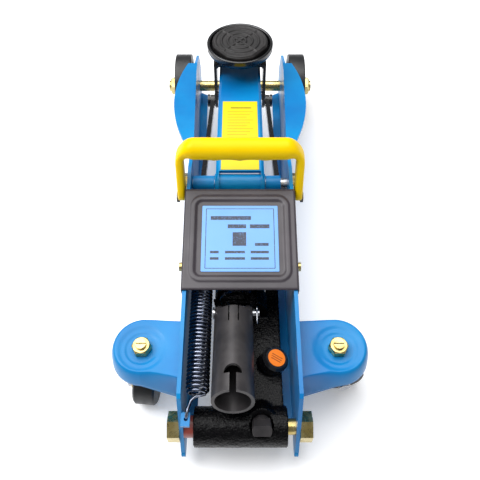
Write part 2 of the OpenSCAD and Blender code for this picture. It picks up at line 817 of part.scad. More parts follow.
module crank_pin_clips() {
    color(steel) both() difference() {
        rod_x(-arm_half - 1.9, -arm_half - 0.1, crank_y, crank_z, 8);
        rod_x(-60, 0, crank_y, crank_z, crank_pin_r + 0.02);
    }
}

// tie rod: flat eyes and a bar that spreads outwards to the rear
module tie_rod() {
    y0 = pivot_y + link_ahead;
    z0 = pivot_z - link_below;
    y1 = saddle_y + link_ahead;
    z1 = saddle_z - link_below;
    color(black_iron) difference() {
        union() {
            rod_x(-37.6, -rod_eye_in, y0, z0, 7);
            rod_x(-33.4, -28.2, y1, z1, 6.5);
            hull() {
                rod_x(-37.2, -32.6, y0 + 4, z0 - 0.7, 3.6);
                rod_x(-33, -28.6, y1 - 4, z1 + 0.7, 3.6);
            }
        }
        rod_x(-60, 0, y0, z0, link_r + fit);
        rod_x(-60, 0, y1, z1, link_r + fit);
    }
}

// ---- saddle --------------------------------------------------------------------------------

// yoke: a strip bent over the arm, holding the cup above and the rods below
module saddle_yoke() {
    color(black_iron) difference() {
        union() {
            side(-yoke_out, yoke_out) hull() {
                translate([saddle_y - 13, bar_z - 3]) square([26, 6]);
                translate([saddle_y - 6, saddle_z]) circle(r = 10);
                translate([saddle_y + link_ahead, saddle_z - link_below]) circle(r = 8);
            }
        }
        difference() {
            side(-yoke_out + yoke_t, yoke_out - yoke_t) translate([saddle_y - 30, 0]) square([60, bar_z]);
            // rounded inner corners
            both() translate([-yoke_out + yoke_t, saddle_y - 40, bar_z]) rotate([0, 45, 0])
                translate([-1.5, 0, -1.5]) cube([3, 80, 3]);
        }
        rod_x(-60, 60, saddle_y, saddle_z, yoke_pin_r + fit);
        rod_x(-60, 60, saddle_y + link_ahead, saddle_z - link_below, link_r + fit);
        translate([0, saddle_y, 0]) cylinder(r = 7 + fit, h = 200);
    }
}

module yoke_pin() {
    color(steel) {
        rod_x(-yoke_out - 1, yoke_out + 1, saddle_y, saddle_z, yoke_pin_r);
    }
}

module rod_front_pins() {
    y = saddle_y + link_ahead;
    z = saddle_z - link_below;
    color(black_iron) both() {
        rod_x(-36.4, -yoke_out + yoke_t - 0.4, y, z, link_r);
        rod_x(-36.4, -33.9, y, z, link_r + 3);
    }
}

module saddle_cup() {
    color([0.05, 0.05, 0.06]) translate([0, saddle_y, 0]) rotate_extrude($fn = 96) polygon([
        [0, bar_z + 3.4], [20, bar_z + 3.4], [cup_r - 4, bar_z + 9], [cup_r, bar_z + 14],
        [cup_r, bar_z + 20], [cup_r - 3, bar_z + 20.5], [cup_r - 3, bar_z + 15], [0, bar_z + 12]]);
    // stem that turns in the yoke
    color([0.05, 0.05, 0.06]) translate([0, saddle_y, bar_z - 3]) cylinder(r = 7, h = 8);
}

module saddle_pad() {
    top = saddle_h;
    color([0.16, 0.15, 0.15]) translate([0, saddle_y, 0]) difference() {
        translate([0, 0, bar_z + 15.4]) cylinder(r = pad_r, h = top - bar_z - 15.4, $fn = 96);
        // rings and a cross left standing on the face
        for (r = [6, 12, 18]) translate([0, 0, top - 1]) difference() {
            cylinder(r = r + 4, h = 2, $fn = 72);
            translate([0, 0, -1]) cylinder(r = r, h = 4, $fn = 72);
            for (a = [45, 135]) rotate(a) translate([-40, -0.9, -1]) cube([80, 1.8, 4]);
        }
        // two flats on the side towards the handle
        for (a = [40, 140]) rotate(-a) translate([pad_r - 2, -20, 0]) cube([10, 40, 200]);
    }
}

// ---- wheels --------------------------------------------------------------------------------

module front_wheel() {
    color(black_iron) translate([-wheel_in - wheel_w, axle_y, wheel_r]) rotate([0, 90, 0]) difference() {
        cylinder(r = wheel_r, h = wheel_w, $fn = 96);
        translate([0, 0, -1]) cylinder(r = axle_r + fit, h = wheel_w + 2);
        for (z = [-1, wheel_w - 3.5]) translate([0, 0, z]) difference() {
            cylinder(r = wheel_r - 7, h = 4.5, $fn = 72);
            translate([0, 0, -1]) cylinder(r = 12, h = 7);
        }
    }
}

// a caster seen with its king bolt on x = 0, y = 0 and trailing to the rear
module fork_body() {
    difference() {
        union() {
            translate([0, 0, fork_top - 2.9]) cylinder(r = 15, h = 2.9);
            for (s = [-1, 1]) side(s > 0 ? fork_in : -fork_in - fork_t, s > 0 ? fork_in + fork_t : -fork_in)
                hull() {
                    translate([-8, fork_top - 3]) square([16, 2.5]);
                    translate([-caster_trail, caster_r]) circle(r = 6);
                }
        }
        cylinder(r = king_r + fit, h = 100);
        rod_x(-30, 30, -caster_trail, caster_r, 3 + fit);
    }
}

module caster_wheel_body() {
    translate([-9, -caster_trail, caster_r]) rotate([0, 90, 0]) difference() {
        union() {
            translate([0, 0, 1.5]) cylinder(r = caster_r, h = 15, $fn = 64);
            cylinder(r1 = caster_r - 1.5, r2 = caster_r, h = 1.5, $fn = 64);
            translate([0, 0, 16.5]) cylinder(r1 = caster_r, r2 = caster_r - 1.5, h = 1.5, $fn = 64);
        }
        translate([0, 0, -1]) cylinder(r = 3 + fit, h = 20);
    }
}

module caster_axle_body() {
    rod_x(-fork_in - fork_t - 1.6, fork_in + fork_t + 1.6, -caster_trail, caster_r, 3);
    rod_x(-fork_in - fork_t - 3.2, -fork_in - fork_t - 0.1, -caster_trail, caster_r, 5);
    rod_x(fork_in + fork_t + 0.1, fork_in + fork_t + 3.2, -caster_trail, caster_r, 5);
}

module at_left_caster() {
    translate([-caster_x, caster_y, 0]) rotate(-left_yaw) children();
}

module at_right_caster() {
    translate([caster_x, caster_y, 0]) rotate(right_yaw) children();
}

// ---- every piece ---------------------------------------------------------------------------

union() {  // side_plate_left
    side_plate();
    spring_tab();
}
mirror([1, 0, 0]) side_plate();  // side_plate_right
front_axle();
axle_nuts();
caster_bracket();  // caster_bracket_left
mirror([1, 0, 0]) caster_bracket();  // caster_bracket_right
caster_king_bolts();
caster_king_nuts();
cover_plate();
cover_label();
cover_screws();
carry_handle();
handle_bolts();
pivot_shaft();
pivot_nuts();
spacer_tubes();
rod_anchor_pins();
trunnion_bolts();
trunnion_spacer();
pump_block();
oil_tank();
main_cylinder();
gland_nut();
ram_seal();
pump_cylinder();
filler_plug();
safety_valve_cap();
safety_label();
fulcrum_pin();
fulcrum_clip();
return_spring();
arm_channel();
arm_pivot_tube();
arm_label();
crank_pin();
crank_pin_clips();
tie_rod();  // tie_rod_left
mirror([1, 0, 0]) tie_rod();  // tie_rod_right
saddle_yoke();
yoke_pin();
rod_front_pins();
saddle_cup();
saddle_pad();
ram_piston();
ram_head();
spring_ear();
handle_socket();
press_roller();
pump_plunger();
release_valve();
front_wheel();  // front_wheel_left
mirror([1, 0, 0]) front_wheel();  // front_wheel_right
color(zinc) at_left_caster() fork_body();  // caster_fork_left
color(zinc) at_right_caster() fork_body();  // caster_fork_right
color(black_iron) at_left_caster() caster_wheel_body();  // caster_wheel_left
color(black_iron) at_right_caster() caster_wheel_body();  // caster_wheel_right
color(steel) at_left_caster() caster_axle_body();  // caster_axle_left
color(steel) at_right_caster() caster_axle_body();  // caster_axle_right
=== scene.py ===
"""A two-ton hydraulic trolley jack, lowered, seen from behind and above.

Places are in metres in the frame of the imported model; outlines are drawn in millimetres.
"""
import json
import math

import bmesh
import bpy
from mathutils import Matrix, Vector


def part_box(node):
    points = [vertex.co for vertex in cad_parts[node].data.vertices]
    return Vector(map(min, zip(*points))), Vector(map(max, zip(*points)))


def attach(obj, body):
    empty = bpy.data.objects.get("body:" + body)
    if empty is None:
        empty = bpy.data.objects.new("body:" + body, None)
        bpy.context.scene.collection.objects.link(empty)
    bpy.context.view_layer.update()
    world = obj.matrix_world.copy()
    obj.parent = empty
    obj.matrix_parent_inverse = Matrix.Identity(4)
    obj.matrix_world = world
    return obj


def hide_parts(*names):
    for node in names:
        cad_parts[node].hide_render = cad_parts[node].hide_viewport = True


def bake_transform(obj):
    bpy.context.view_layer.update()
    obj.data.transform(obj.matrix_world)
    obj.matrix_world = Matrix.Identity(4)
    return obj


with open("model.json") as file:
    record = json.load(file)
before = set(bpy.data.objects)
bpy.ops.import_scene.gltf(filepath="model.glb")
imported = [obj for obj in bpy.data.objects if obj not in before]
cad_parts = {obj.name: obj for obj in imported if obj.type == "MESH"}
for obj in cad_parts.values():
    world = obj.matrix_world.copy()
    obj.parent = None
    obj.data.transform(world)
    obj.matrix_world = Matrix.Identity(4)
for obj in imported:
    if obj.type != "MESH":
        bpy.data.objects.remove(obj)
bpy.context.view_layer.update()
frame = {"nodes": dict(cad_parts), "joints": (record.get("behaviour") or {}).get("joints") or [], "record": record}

MM = 0.001
nodes = frame["nodes"]


# ---- places read from the frame ------------------------------------------------------------

def low(node):
    """The lowest corner of a node's box."""
    return Vector(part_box(node)[0])


def high(node):
    """The highest corner of a node's box."""
    return Vector(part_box(node)[1])


def middle(node):
    return (low(node) + high(node)) / 2


def pivot_of(joint_name):
    """The place that a joint turns about."""
    joint = next(j for j in frame["joints"] if j["name"] == joint_name)
    return Vector(joint["pos_m"])


# ---- materials -----------------------------------------------------------------------------

def linear(red, green, blue):
    """A colour as seen on a screen (0..255), as the linear values the shaders use."""
    values = []
    for value in (red, green, blue):
        share = value / 255
        values.append(share / 12.92 if share <= 0.04045 else ((share + 0.055) / 1.055) ** 2.4)
    return (*values, 1.0)


class Shader:
    """A small helper that adds nodes to one material and joins them up."""

    def __init__(self, name):
        self.material = bpy.data.materials.new(name)
        self.material.use_nodes = True
        self.tree = self.material.node_tree
        self.bsdf = self.tree.nodes["Principled BSDF"]
        self.coords = self.tree.nodes.new("ShaderNodeTexCoord").outputs["Object"]

    def link(self, source, target):
        self.tree.links.new(source, target)

    def noise(self, scale, detail=3.0):
        """A noise value from 0 to 1; scale is in bumps per metre."""
        node = self.tree.nodes.new("ShaderNodeTexNoise")
        node.inputs["Scale"].default_value = scale
        node.inputs["Detail"].default_value = detail
        self.link(self.coords, node.inputs["Vector"])
        return node.outputs["Fac"]

    def spread(self, value, start, end, to_start=0.0, to_end=1.0):
        """The value, stretched so that start..end becomes to_start..to_end and stops there."""
        node = self.tree.nodes.new("ShaderNodeMapRange")
        ends = {"From Min": start, "From Max": end, "To Min": to_start, "To Max": to_end}
        for name, number in ends.items():
            node.inputs[name].default_value = number
        self.link(value, node.inputs["Value"])
        return node.outputs["Result"]

    def math(self, operation, first, second):
        node = self.tree.nodes.new("ShaderNodeMath")
        node.operation = operation
        for socket, value in zip(node.inputs, (first, second)):
            if isinstance(value, (int, float)):
                socket.default_value = value
            else:
                self.link(value, socket)
        return node.outputs["Value"]

    def mix(self, share, first, second):
        """The first colour where share is 0 and the second where it is 1."""
        node = self.tree.nodes.new("ShaderNodeMix")
        node.data_type = "RGBA"
        for name, value in (("A", first), ("B", second)):
            socket = next(s for s in node.inputs if s.name == name and s.type == "RGBA")
            if isinstance(value, tuple):
                socket.default_value = value
            else:
                self.link(value, socket)
        self.link(share, node.inputs["Factor"])
        return next(s for s in node.outputs if s.type == "RGBA")

    def worn_edges(self, radius, amount):
        """1 on sharp outside edges where the finish has rubbed away, broken up by noise."""
        bevel = self.tree.nodes.new("ShaderNodeBevel")
        bevel.samples = 4
        bevel.inputs["Radius"].default_value = radius
        geometry = self.tree.nodes.new("ShaderNodeNewGeometry")
        dot = self.tree.nodes.new("ShaderNodeVectorMath")
        dot.operation = "DOT_PRODUCT"
        self.link(bevel.outputs["Normal"], dot.inputs[0])
        self.link(geometry.outputs["Normal"], dot.inputs[1])
        edge = self.spread(dot.outputs["Value"], 0.97, 0.80)
        broken = self.spread(self.noise(420.0), 0.45, 0.62)
        return self.math("MULTIPLY", self.math("MULTIPLY", edge, broken), amount)

    def grain(self, scale, height):
        """Fine bumps of a height in metres."""
        bump = self.tree.nodes.new("ShaderNodeBump")
        bump.inputs["Distance"].default_value = height
        self.link(self.noise(scale), bump.inputs["Height"])
        self.link(bump.outputs["Normal"], self.bsdf.inputs["Normal"])


def finish(name, light, dark, rough, metallic=0.0, coat=0.0, patch=40.0, grain=(900.0, 0.00002),
           worn=None, shine=0.5):
    """One procedural finish: two tones in patches, fine grain, changing roughness and worn edges.

    patch is in patches per metre, grain is (bumps per metre, height) and worn is (colour, radius, amount).
    """
    shader = Shader(name)
    bsdf = shader.bsdf
    patches = shader.noise(patch, 4.0)
    colour = shader.mix(shader.spread(patches, 0.35, 0.65), light, dark)
    if worn:
        worn_colour, radius, amount = worn
        colour = shader.mix(shader.worn_edges(radius, amount), colour, worn_colour)
    shader.link(colour, bsdf.inputs["Base Color"])
    smudges = shader.noise(patch * 3)
    shader.link(shader.spread(smudges, 0.3, 0.7, *rough), bsdf.inputs["Roughness"])
    bsdf.inputs["Metallic"].default_value = metallic
    bsdf.inputs["Specular IOR Level"].default_value = shine
    bsdf.inputs["Coat Weight"].default_value = coat
    bsdf.inputs["Coat Roughness"].default_value = 0.08
    shader.grain(*grain)
    return shader.material


FINISHES = {
    "blue_paint": dict(
        light=linear(0, 136, 198), dark=linear(0, 112, 180), rough=(0.30, 0.42), coat=0.06,
        patch=14.0, worn=(linear(60, 150, 210), 0.0005, 0.4), shine=0.3),
    "black_paint": dict(
        light=linear(20, 20, 22), dark=linear(10, 10, 12), rough=(0.20, 0.30), coat=0.3,
        worn=(linear(60, 60, 62), 0.0004, 0.25)),
    "cast_black": dict(
        light=linear(7, 6, 8), dark=linear(2, 2, 3), rough=(0.16, 0.34), coat=0.04, shine=0.12,
        patch=160.0, grain=(700.0, 0.0007), worn=(linear(40, 40, 42), 0.0006, 0.3)),
    "cover_paint": dict(
        light=linear(65, 59, 65), dark=linear(49, 44, 50), rough=(0.32, 0.44), patch=18.0,
        grain=(1500.0, 0.00003), worn=(linear(120, 114, 112), 0.0005, 0.4)),
    "yellow_zinc": dict(
        light=linear(208, 192, 138), dark=linear(178, 158, 98), metallic=1.0,
        rough=(0.22, 0.36), patch=110.0, worn=(linear(232, 226, 200), 0.0005, 0.7)),
    "bright_steel": dict(
        light=linear(200, 200, 203), dark=linear(160, 162, 168), metallic=1.0,
        rough=(0.20, 0.34), patch=90.0, worn=(linear(235, 235, 235), 0.0004, 0.5)),
    "dark_steel": dict(
        light=linear(70, 67, 68), dark=linear(50, 48, 50), metallic=0.4,
        rough=(0.32, 0.46), patch=60.0, worn=(linear(130, 128, 126), 0.0005, 0.6)),
    "chromed_steel": dict(
        light=linear(232, 233, 236), dark=linear(214, 216, 220), metallic=1.0,
        rough=(0.06, 0.12), worn=(linear(240, 240, 240), 0.0003, 0.3)),
    "spring_steel": dict(
        light=linear(146, 152, 168), dark=linear(92, 98, 114), metallic=1.0,
        rough=(0.16, 0.28), patch=120.0),
    "yellow_plastic": dict(
        light=linear(250, 210, 0), dark=linear(246, 202, 0), rough=(0.32, 0.42), patch=22.0,
        grain=(1400.0, 0.00002), worn=(linear(252, 210, 50), 0.0006, 0.4), shine=0.12),
    "black_rubber": dict(
        light=linear(36, 33, 33), dark=linear(21, 19, 19), rough=(0.46, 0.62), patch=70.0,
        grain=(1800.0, 0.00004), worn=(linear(84, 80, 78), 0.0005, 0.5)),
    "wheel_black": dict(
        light=linear(26, 26, 28), dark=linear(15, 15, 17), rough=(0.34, 0.50), patch=60.0,
        worn=(linear(84, 84, 86), 0.0006, 0.6)),
    "copper_red": dict(
        light=linear(176, 74, 56), dark=linear(140, 60, 50), rough=(0.3, 0.4), coat=0.3,
        worn=(linear(200, 160, 110), 0.0005, 0.8)),
}
PAINT = {name: finish(name, **values) for name, values in FINISHES.items()}


def printed(name, ground, ink, boxes, centre, slope):
    """A printed film: plain ground with inked boxes (x0, y0, x1, y1 in mm from centre, y up the slope)."""
    shader = Shader(name)
    place = shader.tree.nodes.new("ShaderNodeMapping")
    place.vector_type = "TEXTURE"
    place.inputs["Location"].default_value = centre
    place.inputs["Rotation"].default_value = slope
    place.inputs["Scale"].default_value = (MM, MM, MM)
    shader.link(shader.coords, place.inputs["Vector"])
    split = shader.tree.nodes.new("ShaderNodeSeparateXYZ")
    shader.link(place.outputs["Vector"], split.inputs["Vector"])
    inked = None
    for x0, y0, x1, y1 in boxes:
        across = shader.math("COMPARE", split.outputs["X"], (x0 + x1) / 2)
        across.node.inputs[2].default_value = (x1 - x0) / 2
        along = shader.math("COMPARE", split.outputs["Y"], (y0 + y1) / 2)
        along.node.inputs[2].default_value = (y1 - y0) / 2
        box = shader.math("MULTIPLY", across, along)
        inked = box if inked is None else shader.math("MAXIMUM", inked, box)
    faded = (*(c * 0.93 for c in ground[:3]), 1.0)
    tone = shader.mix(shader.spread(shader.noise(30.0), 0.3, 0.7), ground, faded)
    worn_ink = shader.math("MULTIPLY", inked, shader.spread(shader.noise(700.0), 0.2, 0.5, 0.6, 1.0))
    shader.link(shader.mix(worn_ink, tone, ink), shader.bsdf.inputs["Base Color"])
    smudges = shader.spread(shader.noise(90.0), 0.3, 0.7, 0.3, 0.4)
    shader.link(smudges, shader.bsdf.inputs["Roughness"])
    shader.grain(1200.0, 0.00001)
    return shader.material


def give(obj, slot_name, material=None):
    """Dresses a piece in one material: the finish named like its slot, unless another one is given."""
    obj.data.materials.clear()
    obj.data.materials.append(material or PAINT[slot_name])


# ---- mesh helpers --------------------------------------------------------------------------

def mesh_piece(name, points, faces, smooth=True):
    """An object made of points and faces, with doubled points joined and its normals outwards."""
    mesh = bpy.data.meshes.new(name)
    mesh.from_pydata([tuple(p) for p in points], [], faces)
    build = bmesh.new()
    build.from_mesh(mesh)
    bmesh.ops.remove_doubles(build, verts=build.verts, dist=1e-7)
    bmesh.ops.recalc_face_normals(build, faces=build.faces)
    build.to_mesh(mesh)
    build.free()
    for polygon in mesh.polygons:
        polygon.use_smooth = smooth
    obj = bpy.data.objects.new(name, mesh)
    bpy.context.scene.collection.objects.link(obj)
    return obj


def strip_faces(rows, columns, wrap=False):
    """Quads between rows of points; wrap joins the ends of each row."""
    faces = []
    for r in range(rows - 1):
        here, above = r * columns, (r + 1) * columns
        for c in range(columns if wrap else columns - 1):
            after = (c + 1) % columns
            faces.append((here + c, here + after, above + after, above + c))
    return faces


def tube_faces(rows, ring):
    """The faces of a closed tube made of rings of points, with a face over each end."""
    last = (rows - 1) * ring
    return strip_faces(rows, ring, wrap=True) + [tuple(range(ring)), tuple(last + k for k in range(ring))]


def soften(obj, width, segments=3, angle=35):
    """Rounds the sharp edges of a piece and shades it smooth."""
    bevel = obj.modifiers.new("rounded edges", "BEVEL")
    bevel.width = width
    bevel.segments = segments
    bevel.limit_method = "ANGLE"
    bevel.angle_limit = math.radians(angle)
    bevel.harden_normals = True
    for polygon in obj.data.polygons:
        polygon.use_smooth = True
    return obj


def lathe(name, profile, centre, steps, axis="Z", radius_at=None):
    """Turns a profile of (radius, height) in mm round an axis through centre.

    radius_at(angle, radius), where given, says how far out the profile reaches in that direction.
    """
    points = []
    for radius, height in profile:
        for k in range(steps):
            angle = 2 * math.pi * k / steps
            r = radius_at(angle, radius) if radius_at else radius
            x, y, z = r * math.cos(angle), r * math.sin(angle), height
            if axis == "X":
                x, y, z = z, x, y
            points.append(Vector((x, y, z)) * MM + centre)
    faces = strip_faces(len(profile), steps, wrap=True)
    return mesh_piece(name, points, faces)


def rounded(profile, radius):
    """The profile with each inner corner replaced by a short curve."""
    steps = 4
    result = [profile[0]]
    for before, here, after in zip(profile, profile[1:], profile[2:]):
        b, h, a = Vector(before), Vector(here), Vector(after)
        reach = min(radius, (b - h).length * 0.45, (a - h).length * 0.45)
        start = h + (b - h).normalized() * reach
        end = h + (a - h).normalized() * reach
        for i in range(steps + 1):
            t = i / steps
            p = start * (1 - t) ** 2 + h * 2 * t * (1 - t) + end * t * t
            result.append((p.x, p.y))
    result.append(profile[-1])
    return result


def wire(name, path_mm, radius_mm):
    """A round wire along a path of points."""
    path = [p * MM for p in path_mm]
    radius = radius_mm * MM
    ring = 8
    points = []
    count = len(path)
    # a first sideways direction that no wire starts along
    side = Vector((0.31, 0.17, 0.93))
    for i, here in enumerate(path):
        ahead = path[min(i + 1, count - 1)]
        back = path[max(i - 1, 0)]
        heading = (ahead - back).normalized()
        u = heading.cross(side).normalized()
        side = u.cross(heading).normalized()
        for k in range(ring):
            angle = 2 * math.pi * k / ring
            points.append(here + (u * math.cos(angle) + side * math.sin(angle)) * radius)
    return mesh_piece(name, points, tube_faces(count, ring))


def smooth_step(value):
    """0 below 0, 1 above 1 and a soft S between them."""
    t = min(1.0, max(0.0, value))
    return t * t * (3 - 2 * t)


def stands_for(obj, body, slot_name, node, material=None):
    """Puts a finer piece in the place of a CAD node and lets it ride on the same body."""
    give(obj, slot_name, material)
    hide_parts(node)
    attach(obj, body)


# ---- cover plate and labels ----------------------------------------------------------------

COVER_SLOPE = math.radians(12.0)
# in mm across the slope: the top of the CAD's cover above its corner line, and the foot of its skirt below
COVER_TOP = 2.2
COVER_SKIRT = 11.0
COVER_CORNER = low("cover_plate") + MM * Vector(
    (0, COVER_TOP * math.sin(COVER_SLOPE), COVER_SKIRT * math.cos(COVER_SLOPE)))
COVER_HALF = high("cover_plate").x / MM
COVER_RUN = (high("cover_plate").y - COVER_CORNER.y) / MM - COVER_SKIRT * math.sin(COVER_SLOPE)
COVER_LENGTH = COVER_RUN / math.cos(COVER_SLOPE)
# the label is this much shorter than the cover
LABEL_MARGIN = 31.0


def on_cover(x, along, lift):
    """A point on the sloping cover: x and lift in mm, along in mm from its rear edge."""
    y = along * math.cos(COVER_SLOPE) - lift * math.sin(COVER_SLOPE)
    z = along * math.sin(COVER_SLOPE) + lift * math.cos(COVER_SLOPE)
    return Vector((x * MM, COVER_CORNER.y + y * MM, COVER_CORNER.z + z * MM))


def cover_section():
    """Half of the cover's cross-section: (x, lift) from the middle out and down the skirt."""
    bend = 2.0
    flat_steps = 80
    bend_steps = 5
    bend_x, bend_lift = COVER_HALF - bend, COVER_TOP - bend
    section = [(bend_x * i / flat_steps, COVER_TOP) for i in range(flat_steps + 1)]
    for i in range(1, bend_steps + 1):
        angle = math.pi / 2 * i / bend_steps
        section.append((bend_x + bend * math.sin(angle), bend_lift + bend * math.cos(angle)))
    skirt_step = (COVER_SKIRT - bend) / 3
    section += [(COVER_HALF, bend_lift - skirt_step * i) for i in range(1, 4)]
    return section


def build_cover():
    """The pressed cover: a dished panel with a rolled border, and a skirt down each side."""
    half = cover_section()
    section = [(-x, lift) for x, lift in reversed(half[1:])] + half
    rows = 120
    corner = 8.0
    side_margin, end_margin = 7.5, 8.5
    panel_depth, border_depth, edge_depth = 1.5, 0.8, 0.7
    middle_along = COVER_LENGTH / 2
    points = []
    for r in range(rows):
        along = COVER_LENGTH * r / (rows - 1)
        for x, lift in section:
            # distance outside a rounded rectangle: a bead runs along it, and the panel is pressed
            # down inside it
            over_x = abs(x) - (COVER_HALF - side_margin - corner)
            over_y = abs(along - middle_along) - (middle_along - end_margin - corner)
            past_corner = math.hypot(max(0.0, over_x), max(0.0, over_y))
            outside = past_corner + min(0.0, max(over_x, over_y)) - corner
            panel = panel_depth * (1 - smooth_step((outside + 4.5) / 3.5))
            border = border_depth * smooth_step((outside - 0.5) / 2.5)
            end = min(along, COVER_LENGTH - along)
            roll = edge_depth * (1 - smooth_step(end / 1.6))
            points.append(on_cover(x, along, lift - panel - border - roll))
    cover = mesh_piece("dished_cover", points, strip_faces(rows, len(section)))
    thick = cover.modifiers.new("sheet", "SOLIDIFY")
    thick.thickness = 0.9 * MM
    top_face = cover.data.polygons[len(cover.data.polygons) // 2]
    thick.offset = -1 if top_face.normal.z > 0 else 1
    stands_for(cover, "chassis", "cover_paint", "cover_plate")


def rounded_plate(name, width, length, corner, thickness, point_at):
    """A thin plate with round corners; point_at turns (x, y, lift) in mm into a place."""
    outline = []
    arc_steps = 6
    for cx, cy, start in ((1, 1, 0), (-1, 1, 90), (-1, -1, 180), (1, -1, 270)):
        for i in range(arc_steps + 1):
            angle = math.radians(start + 90 / arc_steps * i)
            x = cx * (width / 2 - corner) + corner * math.cos(angle)
            y = cy * (length / 2 - corner) + corner * math.sin(angle)
            outline.append((x, y))
    n = len(outline)
    points = [point_at(x, y, 0) for x, y in outline]
    points += [point_at(x, y, thickness) for x, y in outline]
    inset = 0.994
    points += [point_at(x * inset, y * inset, thickness + 0.04) for x, y in outline]
    faces = strip_faces(3, n, wrap=True) + [tuple(range(n)), tuple(2 * n + i for i in range(n))]
    return mesh_piece(name, points, faces, smooth=False)


def frame_lines(edge_x, edge_y, rule):
    """Four thin boxes that make a rectangular border."""
    return [(-edge_x, -edge_y, edge_x, -edge_y + rule), (-edge_x, edge_y - rule, edge_x, edge_y),
            (-edge_x, -edge_y, -edge_x + rule, edge_y), (edge_x - rule, -edge_y, edge_x, edge_y)]


def build_cover_label():
    """The plate on the cover: a border, and bars in place of lettering."""
    middle_along = (COVER_LENGTH - 1) / 2
    width, length = 62, COVER_LENGTH - LABEL_MARGIN
    plate = rounded_plate("blue_plate", width, length, 0.8, 0.35,
                          lambda x, y, lift: on_cover(x, middle_along + y, 0.85 + lift))
    border = frame_lines(width / 2 - 3, length / 2 - 2.5, 0.6)
    bars = [(-24, 16, 9, 19.5), (-10, 8.5, 5, 12), (8, 8.5, 24, 12), (-6, -7, 5, 5), (12, -7, 23, -4.5)]
    bar_height = 2.2
    for row in (-13.5, -19):
        for start, end in ((-24, -17), (-12, 4), (8.5, 23)):
            bars.append((start, row, end, row + bar_height))
    film = printed("blue_label", linear(106, 166, 236), linear(16, 30, 58), border + bars,
                   on_cover(0, middle_along, 1), (COVER_SLOPE, 0, 0))
    stands_for(plate, "chassis", "blue_label", "cover_label", material=film)


def build_arm_label():
    """The strip on the lift arm: a heading bar and rows of thin lines of uneven length."""
    size = high("arm_label") - low("arm_label")
    fall = -math.atan(size.z / size.y)
    rows, pitch, first_row = 16, 4.2, 32
    lines = [(-9, 37, 11, 39)]
    for i in range(rows):
        row = first_row - pitch * i
        lines.append((-12, row, 12.5 - 3 * (i % 3), row + 0.5))
    film = printed("yellow_label", linear(234, 208, 2), linear(150, 136, 10), lines,
                   middle("arm_label"), (fall, 0, 0))
    give(nodes["arm_label"], "yellow_label", film)


def build_safety_label():
    """The sticker on the safety valve cap, with three short bars."""
    lean, turn = math.radians(18), math.radians(-25)
    marks = [(-4.5, 1.2, 4.5, 2.0), (-4.5, -0.6, 4.5, 0.2), (-4.0, -2.4, 4.0, -1.6)]
    film = printed("orange_label", linear(240, 124, 22), linear(150, 70, 10), marks,
                   middle("safety_label"), (0, lean, turn))
    give(nodes["safety_label"], "orange_label", film)


# ---- carry handle --------------------------------------------------------------------------

def handle_path(leg_x, foot_z, grip_z, corner):
    """The U seen from behind, as (x, z) in mm: up the left leg, along the grip and down the right leg."""
    leg_steps, bend_steps, grip_steps = 18, 8, 72
    bend_z = grip_z - corner
    rise = [(-leg_x, foot_z + (bend_z - foot_z) * (i / leg_steps)) for i in range(leg_steps + 1)]
    for i in range(1, bend_steps + 1):
        angle = math.pi / 2 * i / bend_steps
        rise.append((-leg_x + corner * (1 - math.cos(angle)), bend_z + corner * math.sin(angle)))
    width = leg_x - corner
    grip = [(-width + 2 * width * i / grip_steps, grip_z) for i in range(1, grip_steps)]
    return rise + grip + [(-x, z) for x, z in reversed(rise)]


def build_handle():
    """A bridge swept along a U: flat legs, round corners and a grip with finger ridges underneath."""
    lo, hi = low("carry_handle") / MM, high("carry_handle") / MM
    leg = 7.0
    foot_r = 9.0
    finger_pitch = 21.0
    ridge_height = 2.1
    foot_steps = 6
    grip_r = 9.2
    # the fingers' ridges fade out between fade_x and grip_end_x, the round grip turns flat after blend_x
    grip_end_x, fade_x = 34.0, 26.0
    leg_x = hi.x - leg / 2
    blend_x, blend_run = leg_x - 12, 10.0
    grip_y, grip_z = hi.y - grip_r, hi.z - grip_r
    foot_y, foot_z = lo.y + foot_r, lo.z + foot_r
    path = handle_path(leg_x, foot_z, grip_z, corner=11.0)
    ring = 28
    points = []
    count = len(path)
    for i, (x, z) in enumerate(path):
        ax, az = path[min(i + 1, count - 1)]
        bx, bz = path[max(i - 1, 0)]
        run = math.hypot(ax - bx, az - bz)
        out_x, out_z = -(az - bz) / run, (ax - bx) / run
        rise = (z - foot_z) / (grip_z - foot_z)
        # 1 on the flat legs, 0 along the round grip
        legness = smooth_step((abs(x) - blend_x) / blend_run)
        thick = leg / 2 * legness + (grip_r - 0.2) * (1 - legness)
        deep = (foot_r - 1.6 * rise) * legness + (grip_r - 0.1) * (1 - legness)
        y = foot_y + (grip_y - foot_y) * min(1.0, rise / 0.9)
        fingers = 1 - abs(math.sin(math.pi * x / finger_pitch))
        ridge = ridge_height * fingers * smooth_step((grip_end_x - abs(x)) / (grip_end_x - fade_x))
        # the feet end in a half circle
        near_foot = min(1.0, min(i, count - 1 - i) / foot_steps)
        deep *= max(math.sqrt(1 - (1 - near_foot) ** 2), 0.15)
        for k in range(ring):
            angle = 2 * math.pi * k / ring
            power = 0.55 + 0.45 * (1 - legness)
            across = math.copysign(abs(math.cos(angle)) ** power, math.cos(angle))
            along = math.copysign(abs(math.sin(angle)) ** power, math.sin(angle))
            off = across * (thick + ridge * max(0.0, -across))
            points.append(Vector((x + out_x * off, y + along * deep, z + out_z * off)) * MM)
    handle = mesh_piece("bridge_handle", points, tube_faces(count, ring))
    stands_for(handle, "chassis", "yellow_plastic", "carry_handle")


# ---- saddle --------------------------------------------------------------------------------

# lathes and rings of the saddle turn about this upright line
SADDLE_CENTRE = Vector((0, middle("saddle_pad").y, 0))


